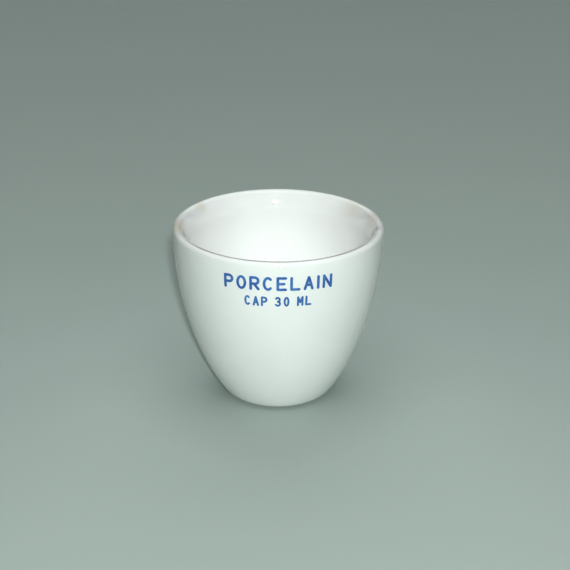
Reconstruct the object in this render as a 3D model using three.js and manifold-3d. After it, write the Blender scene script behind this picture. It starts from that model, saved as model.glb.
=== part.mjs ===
// A high-form laboratory crucible of glazed porcelain, 43 mm across and 37 mm high.
// The cup is one fired body. Its print is blue ceramic ink, each character a film of its own.
// Millimetres, +Z up, origin at the centre of the foot, and the print faces -Y.
import * as THREE from "three";
import { TessellateModifier } from "three/addons/modifiers/TessellateModifier.js";
import { mergeVertices } from "three/addons/utils/BufferGeometryUtils.js";
import Module from "manifold-3d";

const wasm = await Module();
wasm.setup();

const degrees = THREE.MathUtils.degToRad;

// Body, outside
const RIM_RADIUS = 21.5;
const HEIGHT = 37;
const FOOT_RADIUS = 9.3; // outer edge of the flat ring that the cup stands on
const FOOT_RING_WIDTH = 2.4;
const FOOT_RECESS = 0.4; // the middle of the underside is this much higher than the ring
const RECESS_EDGE = 0.6; // width of the slope between ring and recess
const FOOT_ROUND = 3.5; // radius of the corner between foot and wall
const WALL_LEAN = degrees(35.6); // outward lean of the wall where it leaves the foot
const LOWER_PULL = 5; // length over which the outer wall holds that lean
const UPPER_PULL = 17.4; // length over which it turns upright below the lip
const FACETS = 84; // facets round the cup

// Body, inside
const LIP_ROUND = 0.8; // radius of the lip's outer half, and the height of its round top
const LIP_REACH = 1.1; // the oval inner half of the lip is this wide
const LIP_LEAN = degrees(26); // inward lean where the round of the lip ends
const LIP_PULL = 3.6; // length over which the inside holds that lean
const BEVEL_DEPTH = 7; // depth below the rim at which the wall has its full thickness
const BEVEL_PULL = 3.6; // length over which the bevel turns into the inner wall
const WALL_THICKNESS = 3;
const INNER_LEAN = degrees(4); // lean of the inside at the bevel's lower end
const INNER_PULL = 14; // length over which the inner wall holds that lean
const FLOOR_PULL = 10.5; // length over which it turns level towards the floor
const FLOOR_RADIUS = 4; // flat middle of the inner floor
const FLOOR_HEIGHT = 2.5;

// Print
const FILM_THICKNESS = 0.05;
const FILM_GAP = 0.02; // keeps the flat facets of a film outside the curved wall
const FILM_FACET = 1.2; // longest facet edge of a film
const RELATIVE_WIDTH = { I: 0.3, " ": 0.5 }; // characters that aren't as wide as the rest of their line
const PRINT_LINES = [
  {
    name: "upper",
    text: "PORCELAIN",
    baseline: 31.5, // height of the line's foot above the foot of the cup
    height: 2.9,
    width: 1.98,
    gap: 0.62,
    stroke: 0.5,
    bow: 0.25, // how much lower the ends of the line are than its middle
  },
  {
    name: "lower",
    text: "CAP 30 ML",
    baseline: 28,
    height: 2.1,
    width: 1.22,
    gap: 0.4,
    stroke: 0.36,
    bow: 0,
  },
];

const porcelain = new THREE.MeshStandardMaterial({ color: 0xeef2ee, roughness: 0.1, metalness: 0 });
const ink = new THREE.MeshStandardMaterial({ color: 0x3f6fb5, roughness: 0.3, metalness: 0 });

const point = (radius, height) => new THREE.Vector2(radius, height);

// Unit vector that leans outward from straight up by an angle.
const leaning = (angle) => point(Math.sin(angle), Math.cos(angle));

// Outer wall as a curve in the (radius, height) plane, from the foot's corner to the lip.
function makeOuterWall() {
  const start = point(
    FOOT_RADIUS + FOOT_ROUND * Math.cos(WALL_LEAN),
    FOOT_ROUND - FOOT_ROUND * Math.sin(WALL_LEAN),
  );
  const end = point(RIM_RADIUS, HEIGHT - LIP_ROUND);
  return new THREE.CubicBezierCurve(
    start,
    leaning(WALL_LEAN).multiplyScalar(LOWER_PULL).add(start),
    point(RIM_RADIUS, end.y - UPPER_PULL),
    end,
  );
}

// Radius of the outer wall at a height, found by halving the curve's range.
function wallRadius(wall, height) {
  let low = 0;
  let high = 1;
  while (high - low > 1e-6) {
    const middle = (low + high) / 2;
    if (wall.getPoint(middle).y < height) low = middle;
    else high = middle;
  }
  return wall.getPoint(low).x;
}

// Outer half of the round top of the lip, up to its crest.
function makeOuterLip() {
  return new THREE.EllipseCurve(
    RIM_RADIUS - LIP_ROUND, HEIGHT - LIP_ROUND, LIP_ROUND, LIP_ROUND, 0, Math.PI / 2,
  );
}

// Inner half of it, from the crest down to where it leans as far as the bevel below.
function makeInnerLip() {
  const end = Math.PI - Math.atan((LIP_ROUND / LIP_REACH) * Math.tan(LIP_LEAN));
  return new THREE.EllipseCurve(
    RIM_RADIUS - LIP_ROUND, HEIGHT - LIP_ROUND, LIP_REACH, LIP_ROUND, Math.PI / 2, end,
  );
}

// Inside of the lip, from the end of its round top down to the full thickness of the wall.
function makeBevel(wall) {
  const start = makeInnerLip().getPoint(1);
  const endHeight = HEIGHT - BEVEL_DEPTH;
  const end = point(wallRadius(wall, endHeight) - WALL_THICKNESS, endHeight);
  return new THREE.CubicBezierCurve(
    start,
    leaning(LIP_LEAN).multiplyScalar(-LIP_PULL).add(start),
    leaning(INNER_LEAN).multiplyScalar(BEVEL_PULL).add(end),
    end,
  );
}

// Inner wall from the bevel down to the edge of the floor's flat middle.
function makeInnerWall(start) {
  return new THREE.CubicBezierCurve(
    start,
    leaning(INNER_LEAN).multiplyScalar(-INNER_PULL).add(start),
    point(FLOOR_RADIUS + FLOOR_PULL, FLOOR_HEIGHT),
    point(FLOOR_RADIUS, FLOOR_HEIGHT),
  );
}

// Whole body turned from one outline that starts and ends on the axis.
function makeBody(wall) {
  const bevel = makeBevel(wall);
  const innerWall = makeInnerWall(bevel.getPoint(1));
  const footRound = new THREE.EllipseCurve(
    FOOT_RADIUS, FOOT_ROUND, FOOT_ROUND, FOOT_ROUND, -Math.PI / 2, -WALL_LEAN,
  );
  const ringInner = FOOT_RADIUS - FOOT_RING_WIDTH;
  const outline = [
    point(0, FOOT_RECESS),
    point(ringInner - RECESS_EDGE, FOOT_RECESS),
    point(ringInner, 0),
    ...footRound.getPoints(5),
    ...wall.getPoints(12).slice(1),
    ...makeOuterLip().getPoints(5).slice(1),
    ...makeInnerLip().getPoints(5).slice(1),
    ...bevel.getPoints(6).slice(1),
    ...innerWall.getPoints(12).slice(1),
    point(0, FLOOR_HEIGHT),
  ];
  return new THREE.LatheGeometry(outline, FACETS).rotateX(Math.PI / 2);
}

// Closed mesh as a manifold-3d solid, and back again.
function toSolid(geometry) {
  const bare = geometry.clone().deleteAttribute("normal").deleteAttribute("uv");
  const merged = mergeVertices(bare, 1e-4);
  return new wasm.Manifold(
    new wasm.Mesh({
      numProp: 3,
      vertProperties: merged.attributes.position.array,
      triVerts: new Uint32Array(merged.index.array),
    }),
  );
}

function toGeometry(solid) {
  const mesh = solid.getMesh();
  return new THREE.BufferGeometry()
    .setAttribute("position", new THREE.BufferAttribute(mesh.vertProperties, 3))
    .setIndex(new THREE.BufferAttribute(mesh.triVerts, 1));
}

function film(shape, curveSegments) {
  const options = { depth: FILM_THICKNESS, bevelEnabled: false, curveSegments };
  return toSolid(new THREE.ExtrudeGeometry(shape, options));
}

// Straight pen stroke with round ends, from one point to another.
function bar(stroke, x0, y0, x1, y1) {
  const direction = Math.atan2(y1 - y0, x1 - x0);
  const shape = new THREE.Shape();
  shape.absarc(x1, y1, stroke / 2, direction - Math.PI / 2, direction + Math.PI / 2);
  shape.absarc(x0, y0, stroke / 2, direction + Math.PI / 2, direction + (3 * Math.PI) / 2);
  return film(shape, 3);
}

// Curved pen stroke along an ellipse, anticlockwise from one angle to another, with round ends.
function bend(stroke, x, y, radiusX, radiusY, from, to) {
  const start = degrees(from);
  const end = degrees(to);
  const half = stroke / 2;
  const shape = new THREE.Shape();
  shape.absellipse(x, y, radiusX + half, radiusY + half, start, end);
  shape.absellipse(x, y, radiusX - half, radiusY - half, end, start, true);
  const tips = [start, end].map((angle) => {
    const tip = new THREE.Shape();
    tip.absarc(x + radiusX * Math.cos(angle), y + radiusY * Math.sin(angle), half, 0, 2 * Math.PI);
    return film(tip, 5);
  });
  return tips.reduce((whole, tip) => whole.add(tip), film(shape, 10));
}

// Closed oval pen stroke.
function oval(stroke, x, y, radiusX, radiusY) {
  const half = stroke / 2;
  const shape = new THREE.Shape();
  shape.absellipse(x, y, radiusX + half, radiusY + half, 0, 2 * Math.PI);
  const hole = new THREE.Path();
  hole.absellipse(x, y, radiusX - half, radiusY - half, 0, 2 * Math.PI);
  shape.holes.push(hole);
  return film(shape, 12);
}

// Characters as pen strokes between 0 and w across, 0 and h up, drawn with a pen of width s.
const CHARACTERS = {
  A: (w, h, s) => [
    bar(s, 0, 0, w / 2, h),
    bar(s, w / 2, h, w, 0),
    bar(s, 0.17 * w, 0.34 * h, 0.83 * w, 0.34 * h),
  ],
  C: (w, h, s) => [bend(s, w / 2, h / 2, w / 2, h / 2, 50, 310)],
  E: (w, h, s) => [
    bar(s, 0, 0, 0, h),
    bar(s, 0, 0, w, 0),
    bar(s, 0, h / 2, 0.8 * w, h / 2),
    bar(s, 0, h, w, h),
  ],
  I: (w, h, s) => [bar(s, w / 2, 0, w / 2, h)],
  L: (w, h, s) => [bar(s, 0, 0, 0, h), bar(s, 0, 0, w, 0)],
  M: (w, h, s) => [
    bar(s, 0, 0, 0, h),
    bar(s, 0, h, w / 2, 0.35 * h),
    bar(s, w / 2, 0.35 * h, w, h),
    bar(s, w, h, w, 0),
  ],
  N: (w, h, s) => [bar(s, 0, 0, 0, h), bar(s, 0, h, w, 0), bar(s, w, 0, w, h)],
  O: (w, h, s) => [oval(s, w / 2, h / 2, w / 2, h / 2)],
  P: (w, h, s) => [bar(s, 0, 0, 0, h), ...bowl(w, h, s)],
  R: (w, h, s) => [bar(s, 0, 0, 0, h), ...bowl(w, h, s), bar(s, 0.45 * w, 0.46 * h, w, 0)],
  0: (w, h, s) => [oval(s, w / 2, h / 2, 0.42 * w, h / 2)],
  3: (w, h, s) => [
    bend(s, 0.45 * w, 0.76 * h, 0.42 * w, 0.24 * h, -90, 150),
    bend(s, 0.45 * w, 0.26 * h, 0.48 * w, 0.26 * h, -150, 90),
  ],
};

// Closed half of a P or an R.
function bowl(w, h, s) {
  const radius = 0.27 * h;
  const turn = w - radius;
  return [
    bar(s, 0, h, turn, h),
    bend(s, turn, h - radius, radius, radius, -90, 90),
    bar(s, turn, h - 2 * radius, 0, h - 2 * radius),
  ];
}

// Flat film (across, up, out) laid on the wall at a baseline height, round the axis from -Y.
function layOnWall(geometry, wall, line) {
  const length = wall.getLength();
  const reference = wallRadius(wall, line.baseline);
  const start = arcLengthAt(wall, line.baseline);
  const position = geometry.attributes.position;
  for (let i = 0; i < position.count; i++) {
    const across = position.getX(i);
    const up = position.getY(i) - line.bow * (across / line.halfWidth) ** 2;
    const place = (start + up) / length;
    const normal = wall.getTangentAt(place).rotateAround(point(0, 0), -Math.PI / 2);
    const onWall = wall.getPointAt(place).addScaledVector(normal, FILM_GAP + position.getZ(i));
    const turn = across / reference;
    position.setXYZ(i, onWall.x * Math.sin(turn), -onWall.x * Math.cos(turn), onWall.y);
  }
  return geometry;
}

// Length along the wall from its foot end to a height.
function arcLengthAt(wall, height) {
  const below = wall.getPoints(200).filter((p) => p.y <= height);
  return below.slice(1).reduce((length, p, i) => length + p.distanceTo(below[i]), 0);
}

// One line of print: a group of films, one per character, centred on the front of the cup.
function makePrintLine(wall, line) {
  const group = new THREE.Group();
  const widths = [...line.text].map((letter) => line.width * (RELATIVE_WIDTH[letter] ?? 1));
  const total = widths.reduce((sum, width) => sum + width, 0) + line.gap * (widths.length - 1);
  const tessellate = new TessellateModifier(FILM_FACET, 8);
  let left = -total / 2;
  [...line.text].forEach((letter, i) => {
    const width = widths[i];
    if (letter !== " ") {
      const strokes = CHARACTERS[letter](width - line.stroke, line.height - line.stroke, line.stroke);
      const flat = toGeometry(strokes.reduce((whole, stroke) => whole.add(stroke)));
      flat.translate(left + line.stroke / 2, line.stroke / 2, 0);
      const curved = layOnWall(tessellate.modify(flat), wall, { ...line, halfWidth: total / 2 });
      const mesh = new THREE.Mesh(curved, ink);
      mesh.name = `print_${line.name}_${letter}`; // no character comes twice in a line
      group.add(mesh);
    }
    left += width + line.gap;
  });
  return group;
}

const outerWall = makeOuterWall();
const body = new THREE.Mesh(makeBody(outerWall), porcelain);
body.name = "crucible_body";

const crucible = new THREE.Group();
crucible.add(body);
for (const line of PRINT_LINES) crucible.add(makePrintLine(outerWall, line));

export default crucible;
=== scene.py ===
"""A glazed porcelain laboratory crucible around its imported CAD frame: metres, +Z up, the print faces -Y."""
import math

import bmesh
import bpy
from mathutils import Matrix, Vector


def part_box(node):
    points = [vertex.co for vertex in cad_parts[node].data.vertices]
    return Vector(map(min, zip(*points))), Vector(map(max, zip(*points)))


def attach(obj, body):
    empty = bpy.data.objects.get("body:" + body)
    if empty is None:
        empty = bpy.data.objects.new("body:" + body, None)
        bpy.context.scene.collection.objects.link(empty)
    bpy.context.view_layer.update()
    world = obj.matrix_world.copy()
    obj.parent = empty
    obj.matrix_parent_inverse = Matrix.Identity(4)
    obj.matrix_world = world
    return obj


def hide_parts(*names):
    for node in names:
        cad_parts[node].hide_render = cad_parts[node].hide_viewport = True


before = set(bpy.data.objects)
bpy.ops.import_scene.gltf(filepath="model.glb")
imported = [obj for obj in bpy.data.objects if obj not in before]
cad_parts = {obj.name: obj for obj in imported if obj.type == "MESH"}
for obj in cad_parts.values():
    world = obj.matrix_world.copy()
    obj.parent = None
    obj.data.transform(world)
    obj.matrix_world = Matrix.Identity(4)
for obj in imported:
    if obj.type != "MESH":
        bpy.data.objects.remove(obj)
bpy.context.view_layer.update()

MM = 0.001

# Body: the same outline as the CAD body, in millimetres. A pull is the length of a curve's handle.
BODY_LOW, BODY_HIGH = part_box("crucible_body")
RIM_RADIUS = BODY_HIGH.x / MM
HEIGHT = BODY_HIGH.z / MM
FOOT_RADIUS = 9.3  # outer edge of the flat ring that the cup stands on
FOOT_RING_WIDTH = 2.4
FOOT_RECESS = 0.4  # the underside inside the ring is this much higher
RECESS_EDGE = 0.6  # width of the slope between the recess and the ring
FOOT_ROUND = 3.5  # radius of the corner between the ring and the wall
WALL_LEAN = math.radians(35.6)  # outward lean of the wall at the foot
LOWER_PULL = 5
UPPER_PULL = 17.4
LIP_ROUND = 0.8  # radius of the lip's outer half, and half the height of the oval inside it
LIP_REACH = 1.1  # half the width of that oval
LIP_LEAN = math.radians(26)  # lean of the surface where the lip passes into the bevel
LIP_PULL = 3.6
BEVEL_DEPTH = 7  # the bevel ends this far below the rim
BEVEL_PULL = 3.6
WALL_THICKNESS = 3  # at the lower end of the bevel
INNER_LEAN = math.radians(4)  # lean of the inside there
INNER_PULL = 14
FLOOR_PULL = 10.5
FLOOR_RADIUS = 4  # flat middle of the inner floor
FLOOR_HEIGHT = 2.5

# Faces of the body: columns round it, and rows along the stretches of its outline
TURNS = 256
RECESS_ROWS = 12
EDGE_ROWS = 8
RING_ROWS = 6
ROUND_ROWS = 14
WALL_ROWS = 60
BEVEL_ROWS = 20
FLOOR_ROWS = 8

# Surfaces: each pair of colours is the two ends of an uneven tone
GLAZE = ((0.95, 0.955, 0.945, 1), (0.97, 0.975, 0.965, 1))
# painted light: a whiter copy of the glaze that lights the inside, where the surface faces the axis
INSIDE_PAINTED_LIGHT_GLAZE = ((0.98, 0.98, 0.975, 1), (0.995, 0.995, 0.99, 1))
BARE_CLAY = ((0.78, 0.76, 0.71, 1), (0.87, 0.86, 0.82, 1))
INK = ((0.085, 0.21, 0.52, 1), (0.13, 0.29, 0.60, 1))
PALE_FLOOR = ((0.52, 0.58, 0.555, 1), (0.55, 0.61, 0.585, 1))
SPECK = (0.40, 0.34, 0.27, 1)
WARM = (0.75, 0.67, 0.56, 1)
# DARK is also the colour of the painted shade line at the front of the lip
DARK = (0.36, 0.29, 0.28, 1)

# Warm and dark cloudy patches on the lip: middle in millimetres, reach, strength and colour
LIP_MARKS = [
    ((16, 11.4, 36), 5.5, 0.34, WARM),
    ((19.4, 4.2, 36), 5, 0.42, WARM),
    ((-20.7, -2.5, 36), 7, 0.7, WARM),
    ((-17.3, 11.5, 36.4), 3, 0.5, WARM),
    ((19.5, -2.4, 35.8), 2.3, 0.8, DARK),
]
SHADE_LINE_RADIUS = 20.35  # painted shade: a fine dark line follows the inner edge of the lip at the front
SPECK_STRENGTH = 0.15
GLAZE_BOTTOM = 0.75  # the glaze is whole above this height
BARE_TOP = 0.55  # the clay is bare below this one
GLAZE_WAVER = 0.15  # both heights wander up and down by this much
RIPPLE_DEPTH = 0.06
GRAIN_DEPTH = 0.06
INK_GRAIN_DEPTH = 0.01

# Camera, in metres
LENS = 78.6  # in millimetres
CAMERA_DISTANCE = 0.2611
CAMERA_ELEVATION = math.radians(24.84)
CAMERA_ROLL = math.radians(0.40)
TARGET = Vector((0, 0, 0.018))
AIM_RIGHT = 0.00145  # the view is centred this far right of the target
AIM_UP = 0.00474  # and this far up from it

# Light and floor
LAMP_COLOR = (0.95, 1, 0.98)
WORLD_COLOR = (0.9, 0.95, 0.93, 1)
WORLD_STRENGTH = 0.04
VIEW_GAMMA = 0.72  # the contrast of a compact camera
FLOOR_HALF = 3  # half the width of the floor, in metres


def leaning(angle):
    """Unit vector in the (radius, height) plane that leans outward from straight up."""
    return Vector((math.sin(angle), math.cos(angle)))


def line(start, end, steps):
    """Points of a straight line after its first one."""
    return [start.lerp(end, i / steps) for i in range(1, steps + 1)]


def bezier(p0, p1, p2, p3, steps):
    """Points of a cubic curve after its first one."""
    points = []
    for i in range(1, steps + 1):
        t = i / steps
        s = 1 - t
        points.append(s**3 * p0 + 3 * s * s * t * p1 + 3 * s * t * t * p2 + t**3 * p3)
    return points


def arc(centre, across, up, start, end):
    """Points of an arc of an oval with these half axes, after its first one."""
    angles = [start + (end - start) * i / ROUND_ROWS for i in range(1, ROUND_ROWS + 1)]
    return [centre + Vector((across * math.cos(a), up * math.sin(a))) for a in angles]


def radius_at(points, height):
    """Radius where a rising outline passes a height."""
    for a, b in zip(points, points[1:]):
        if a.y <= height <= b.y:
            return a.x + (b.x - a.x) * (height - a.y) / (b.y - a.y)
    raise ValueError(f"the outline doesn't pass {height}")


def foot_outline():
    """Outline from the middle of the underside to where the round corner meets the wall."""
    ring_inner = FOOT_RADIUS - FOOT_RING_WIDTH
    middle = Vector((0, FOOT_RECESS))
    recess = Vector((ring_inner - RECESS_EDGE, FOOT_RECESS))
    ring = Vector((ring_inner, 0))
    half_edge = Vector((RECESS_EDGE / 2, 0))
    outline = [middle] + line(middle, recess, RECESS_ROWS)
    outline += bezier(recess, recess + half_edge, ring - half_edge, ring, EDGE_ROWS)
    outline += line(ring, Vector((FOOT_RADIUS, 0)), RING_ROWS)
    centre = Vector((FOOT_RADIUS, FOOT_ROUND))
    return outline + arc(centre, FOOT_ROUND, FOOT_ROUND, -math.pi / 2, -WALL_LEAN)


def outer_wall(start):
    """Outline from the foot up to the lip."""
    end = Vector((RIM_RADIUS, HEIGHT - LIP_ROUND))
    start_handle = start + LOWER_PULL * leaning(WALL_LEAN)
    return bezier(start, start_handle, end - Vector((0, UPPER_PULL)), end, WALL_ROWS)


def lip_outline():
    """Outline of the lip over its crest, to where it leans down and inward."""
    centre = Vector((RIM_RADIUS - LIP_ROUND, HEIGHT - LIP_ROUND))
    end = math.pi - math.atan(LIP_ROUND / LIP_REACH * math.tan(LIP_LEAN))
    outer_half = arc(centre, LIP_ROUND, LIP_ROUND, 0, math.pi / 2)
    return outer_half + arc(centre, LIP_REACH, LIP_ROUND, math.pi / 2, end)


def inside_outline(start, wall):
    """Outline from the lip down the bevel and the inner wall to the middle of the inner floor."""
    bevel_height = HEIGHT - BEVEL_DEPTH
    bevel_end = Vector((radius_at(wall, bevel_height) - WALL_THICKNESS, bevel_height))
    start_handle = start - LIP_PULL * leaning(LIP_LEAN)
    end_handle = bevel_end + BEVEL_PULL * leaning(INNER_LEAN)
    outline = bezier(start, start_handle, end_handle, bevel_end, BEVEL_ROWS)

    floor_edge = Vector((FLOOR_RADIUS, FLOOR_HEIGHT))
    start_handle = bevel_end - INNER_PULL * leaning(INNER_LEAN)
    outline += bezier(bevel_end, start_handle, floor_edge + Vector((FLOOR_PULL, 0)), floor_edge, WALL_ROWS)
    return outline + line(floor_edge, Vector((0, FLOOR_HEIGHT)), FLOOR_ROWS)


def body_outline():
    """Outline of the body from the middle of the underside to the middle of the inner floor."""
    foot = foot_outline()
    wall = outer_wall(foot[-1])
    lip = lip_outline()
    return foot + wall + lip + inside_outline(lip[-1], wall)


def turned(name, outline):
    """Smooth closed body turned about Z from an outline in millimetres that starts and ends on the axis."""
    mesh = bmesh.new()
    rings = []
    for p in outline[1:-1]:
        ring = []
        for i in range(TURNS):
            a = 2 * math.pi * i / TURNS
            ring.append(mesh.verts.new((p.x * MM * math.sin(a), -p.x * MM * math.cos(a), p.y * MM)))
        rings.append(ring)
    bottom = mesh.verts.new((0, 0, outline[0].y * MM))
    top = mesh.verts.new((0, 0, outline[-1].y * MM))
    for i in range(TURNS):
        j = (i + 1) % TURNS
        mesh.faces.new((bottom, rings[0][j], rings[0][i]))
        for low, high in zip(rings, rings[1:]):
            mesh.faces.new((low[i], low[j], high[j], high[i]))
        mesh.faces.new((rings[-1][i], rings[-1][j], top))
    for face in mesh.faces:
        face.smooth = True
    data = bpy.data.meshes.new(name)
    mesh.to_mesh(data)
    mesh.free()
    piece = bpy.data.objects.new(name, data)
    bpy.context.scene.collection.objects.link(piece)
    return piece


class Material:
    """A node material with its principled shader, and short calls that add nodes to it."""

    def __init__(self, name):
        self.material = bpy.data.materials.new(name)
        self.material.use_nodes = True
        self.tree = self.material.node_tree
        self.shader = self.tree.nodes["Principled BSDF"]
        coordinates = self.add("ShaderNodeTexCoord", {})
        self.place = coordinates["Object"]
        self.normal = coordinates["Normal"]

    def add(self, kind, inputs, **settings):
        """Outputs of a new node. Its inputs are given by name, or by number where names repeat."""
        node = self.tree.nodes.new(kind)
        for name, value in settings.items():
            setattr(node, name, value)
        self.fill(node, inputs)
        return node.outputs

    def fill(self, node, inputs):
        """Link a node's inputs to other nodes' outputs, or set their values."""
        for key, value in inputs.items():
            if isinstance(value, bpy.types.NodeSocket):
                self.tree.links.new(value, node.inputs[key])
            else:
                node.inputs[key].default_value = value

    def noise(self, scale, detail):
        inputs = {"Scale": scale, "Detail": detail, "Vector": self.place}
        return self.add("ShaderNodeTexNoise", inputs)["Fac"]

    def range(self, value, low, high, to_low=0, to_high=1):
        """Smooth step of a value from one range to another."""
        inputs = {"Value": value, "From Min": low, "From Max": high, "To Min": to_low, "To Max": to_high}
        return self.add("ShaderNodeMapRange", inputs, interpolation_type="SMOOTHSTEP")["Result"]

    def math(self, operation, a, b=0):
        return self.add("ShaderNodeMath", {0: a, 1: b}, operation=operation)["Value"]

    def product(self, first, *others):
        for other in others:
            first = self.math("MULTIPLY", first, other)
        return first

    def measure(self, operation, a, b=(0, 0, 0)):
        """A number worked out from one vector or two."""
        return self.add("ShaderNodeVectorMath", {0: a, 1: b}, operation=operation)["Value"]

    def spot(self, middle, reach):
        """1 at a point in millimetres, falling to 0 at a distance from it."""
        distance = self.measure("DISTANCE", self.place, [coordinate * MM for coordinate in middle])
        return self.range(distance, reach * MM, 0)

    def mix_colors(self, factor, a, b):
        return self.add("ShaderNodeMix", {"Factor": factor, 6: a, 7: b}, data_type="RGBA")[2]

    def mix_numbers(self, factor, a, b):
        return self.add("ShaderNodeMix", {"Factor": factor, 2: a, 3: b}, data_type="FLOAT")[0]

    def bump(self, height, depth, normal=None):
        """Normal of a bumpy surface, its depth in millimetres, over another bumpy surface's if given."""
        inputs = {"Height": height, "Distance": depth * MM}
        if normal:
            inputs["Normal"] = normal
        return self.add("ShaderNodeBump", inputs)["Normal"]


def glaze_color(m, level):
    """Nearly white glaze with slow changes of tone, with painted light: a whiter copy of it where the surface
    faces the axis.
    """
    tone = m.range(m.noise(70, 3), 0.35, 0.65)
    # painted light: surfaces that face the axis take the whiter copy of the glaze
    inside = m.range(m.measure("DOT_PRODUCT", m.normal, level), 2 * MM, -2 * MM)
    return m.mix_colors(inside, m.mix_colors(tone, *GLAZE), m.mix_colors(tone, *INSIDE_PAINTED_LIGHT_GLAZE))


def with_lip_marks(m, color):
    """A colour with the cloudy warm and dark patches over it."""
    for middle, reach, strength, mark in LIP_MARKS:
        cloud = m.range(m.noise(140, 2), 0.3, 0.6, 0.7, 1)
        color = m.mix_colors(m.product(m.spot(middle, reach), cloud, strength), color, mark)
    return color


def with_painted_shade_line(m, color, place, level):
    """A colour with a fine line of painted shade over it, on the lip and at the front only."""
    off_line = m.math("ABSOLUTE", m.math("SUBTRACT", m.measure("LENGTH", level), SHADE_LINE_RADIUS * MM))
    on_line = m.range(off_line, 0.6 * MM, 0.3 * MM)
    on_lip = m.range(place["Z"], 35 * MM, 36 * MM)
    in_front = m.range(place["Y"], -8 * MM, -19 * MM)
    uneven = m.range(m.noise(90, 3), 0.3, 0.7, 0.5, 0.85)
    return m.mix_colors(m.product(on_line, on_lip, in_front, uneven), color, DARK)


def with_specks(m, color):
    """A colour with rare, faint pinpoint specks over it."""
    distance = m.add("ShaderNodeTexVoronoi", {"Scale": 230, "Vector": m.place})["Distance"]
    speck = m.range(distance, 0.05, 0.02)
    rare = m.range(m.noise(110, 0), 0.70, 0.74)
    return m.mix_colors(m.product(speck, rare, SPECK_STRENGTH), color, SPECK)


def glazed_porcelain():
    """Clear glossy glaze on a white body, with marks on the lip and a bare matt foot."""
    m = Material("glazed_porcelain")
    place = m.add("ShaderNodeSeparateXYZ", {"Vector": m.place})
    level = m.add("ShaderNodeCombineXYZ", {"X": place["X"], "Y": place["Y"]})["Vector"]
    color = with_lip_marks(m, glaze_color(m, level))
    color = with_specks(m, with_painted_shade_line(m, color, place, level))

    waver = m.range(m.noise(130, 2), 0.3, 0.7, -GLAZE_WAVER * MM, GLAZE_WAVER * MM)
    bare = m.range(m.math("ADD", place["Z"], waver), GLAZE_BOTTOM * MM, BARE_TOP * MM)
    clay = m.mix_colors(m.noise(900, 4), *BARE_CLAY)
    gloss = m.range(m.noise(160, 3), 0.3, 0.7, 0.035, 0.065)
    ripple = m.bump(m.noise(180, 2), RIPPLE_DEPTH)
    grain = m.product(m.noise(2500, 3), bare)
    m.fill(m.shader, {
        "Base Color": m.mix_colors(bare, color, clay),
        "Roughness": m.mix_numbers(bare, gloss, 0.75),
        "Normal": m.bump(grain, GRAIN_DEPTH, ripple),
        "IOR": 1.5,
        "Subsurface Weight": 0.12,
        "Subsurface Radius": (1.0, 0.9, 0.75),
        "Subsurface Scale": MM,
    })
    return m.material


def fired_ink():
    """Blue ceramic ink, a little uneven where the stamp pressed lightly."""
    m = Material("fired_blue_ink")
    m.fill(m.shader, {
        "Base Color": m.mix_colors(m.range(m.noise(420, 3), 0.35, 0.7), *INK),
        "Roughness": m.range(m.noise(700, 2), 0.3, 0.7, 0.16, 0.3),
        "Normal": m.bump(m.noise(900, 2), INK_GRAIN_DEPTH),
        "IOR": 1.5,
    })
    return m.material


def pale_floor():
    """Plain matt floor, a little uneven in tone."""
    m = Material("pale_floor")
    m.fill(m.shader, {"Base Color": m.mix_colors(m.noise(9, 4), *PALE_FLOOR), "Roughness": 0.8})
    return m.material


def build_body():
    body = turned("porcelain_body", body_outline())
    body.data.materials.append(glazed_porcelain())
    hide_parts("crucible_body")
    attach(body, "root")


def build_print():
    """The ink films keep the CAD's shape, shaded smooth, in a better material."""
    material = fired_ink()
    for name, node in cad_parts.items():
        if name.startswith("print_"):
            node.data.materials.clear()
            node.data.materials.append(material)
            node.data.shade_smooth()


def build_floor():
    mesh = bpy.data.meshes.new("floor")
    corners = [(x * FLOOR_HALF, y * FLOOR_HALF, 0) for x, y in ((-1, -1), (1, -1), (1, 1), (-1, 1))]
    mesh.from_pydata(corners, [], [(0, 1, 2, 3)])
    mesh.materials.append(pale_floor())
    floor = bpy.data.objects.new("floor", mesh)
    floor.location.z = BODY_LOW.z
    bpy.context.scene.collection.objects.link(floor)


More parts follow.
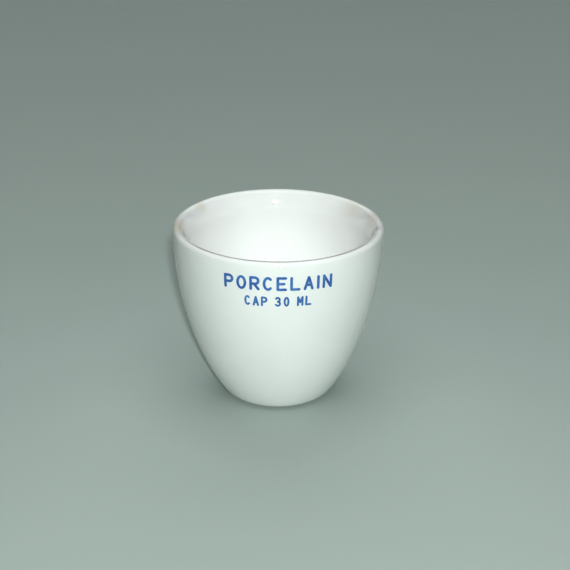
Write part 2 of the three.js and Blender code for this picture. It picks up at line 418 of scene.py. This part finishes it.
def build_camera():
    back = Vector((0, -math.cos(CAMERA_ELEVATION), math.sin(CAMERA_ELEVATION)))
    up = Vector((0, math.sin(CAMERA_ELEVATION), math.cos(CAMERA_ELEVATION)))
    place = TARGET + CAMERA_DISTANCE * back
    aim = TARGET + AIM_RIGHT * Vector((1, 0, 0)) + AIM_UP * up
    data = bpy.data.cameras.new("camera")
    data.lens = LENS
    data.sensor_width = 36
    data.clip_start = 0.01
    camera = bpy.data.objects.new("camera", data)
    turn = (aim - place).to_track_quat("-Z", "Y").to_matrix().to_4x4()
    camera.matrix_world = Matrix.Translation(place) @ turn @ Matrix.Rotation(CAMERA_ROLL, 4, "Z")
    bpy.context.scene.collection.objects.link(camera)
    bpy.context.scene.camera = camera


def lamp(kind, name, azimuth, elevation, power, distance=1.0):
    """Lamp aimed at the crucible's middle. Azimuth 0 is in front of it, positive to the right."""
    a, e = math.radians(azimuth), math.radians(elevation)
    back = Vector((math.sin(a) * math.cos(e), -math.cos(a) * math.cos(e), math.sin(e)))
    data = bpy.data.lights.new(name, kind)
    data.energy = power
    data.color = LAMP_COLOR
    light = bpy.data.objects.new(name, data)
    light.location = TARGET + distance * back
    light.rotation_euler = (-back).to_track_quat("-Z", "Y").to_euler()
    bpy.context.scene.collection.objects.link(light)
    return data


def build_lamps():
    """A small key lamp close to the camera's direction, and broad soft lamps above and behind."""
    key = lamp("SPOT", "key", azimuth=3.5, elevation=26, power=6.7, distance=0.5)
    key.shadow_soft_size = 0.008
    key.spot_size = math.radians(80)
    key.spot_blend = 1
    overhead = lamp("SUN", "overhead", azimuth=0, elevation=80, power=0.95)
    overhead.angle = math.radians(60)
    back = lamp("SUN", "back", azimuth=180, elevation=52, power=0.7)
    back.angle = math.radians(50)


def build_world():
    world = bpy.data.worlds.new("studio")
    world.use_nodes = True
    background = world.node_tree.nodes["Background"]
    background.inputs["Color"].default_value = WORLD_COLOR
    background.inputs["Strength"].default_value = WORLD_STRENGTH
    bpy.context.scene.world = world


def set_view():
    view = bpy.context.scene.view_settings
    view.view_transform = "Standard"
    view.gamma = VIEW_GAMMA


build_body()
build_print()
build_floor()
build_camera()
build_lamps()
build_world()
set_view()
